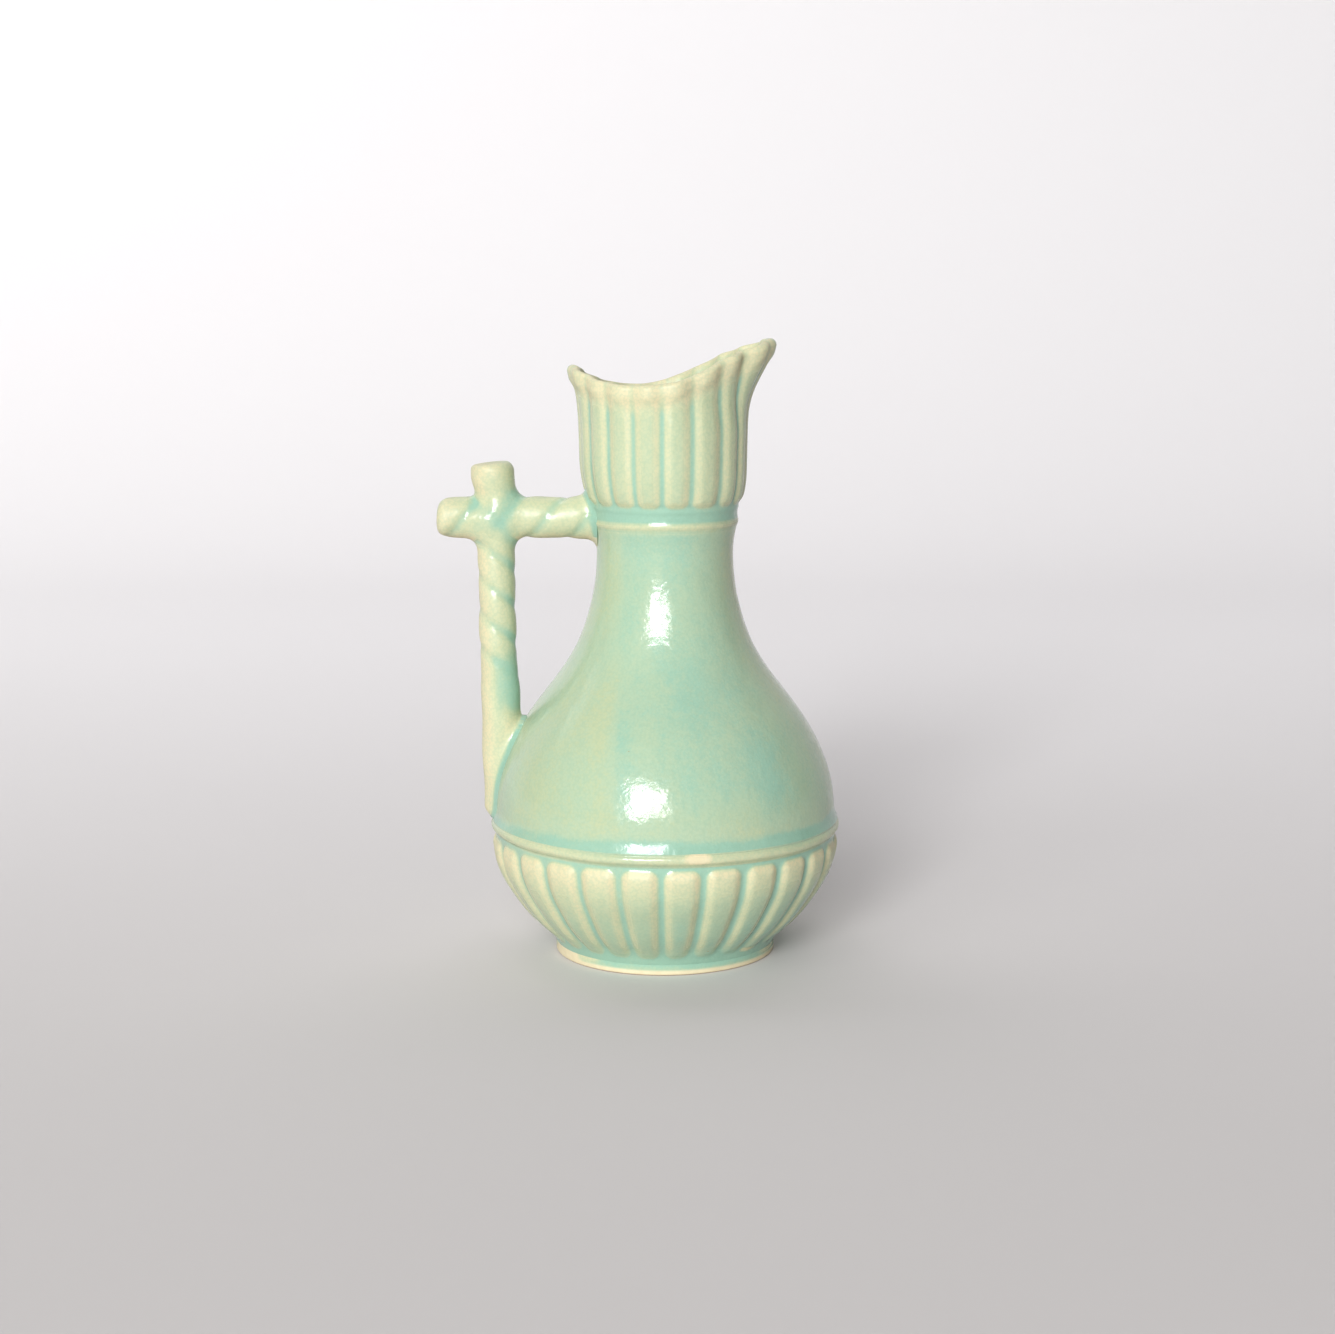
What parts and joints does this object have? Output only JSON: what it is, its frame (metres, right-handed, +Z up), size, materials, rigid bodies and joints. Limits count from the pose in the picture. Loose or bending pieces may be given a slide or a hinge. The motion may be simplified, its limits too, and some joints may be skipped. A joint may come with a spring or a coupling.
{
  "type": "ceramic pitcher",
  "caption": "Glazed ceramic pitcher: fluted round bowl, narrow neck, fluted collar with a raised pouring lip, and a handle of crossed twigs.",
  "frame": {"origin": "centre of the foot ring's standing face, on the vessel's axis", "axes": "+Z up along the vessel's axis, +X towards the pouring lip, -X towards the twig handle"},
  "size_m": [0.1334, 0.117, 0.2036],
  "materials": {
    "celadon_glaze": "glossy celadon glaze, cream where thin on raised edges and blue-green where it pools",
    "bare_clay": "bare buff clay, wiped clean of glaze"
  },
  "bodies": {
    "root": {"foot_ring": "bare_clay", "fluted_bowl": "celadon_glaze", "girdle": "celadon_glaze", "belly_and_neck": "celadon_glaze", "neck_bead": "celadon_glaze", "fluted_collar": "celadon_glaze", "handle_crossbar": "celadon_glaze", "handle_upright": "celadon_glaze", "crossbar_joint": "celadon_glaze", "upright_joint": "celadon_glaze"}
  },
  "joints": []
}
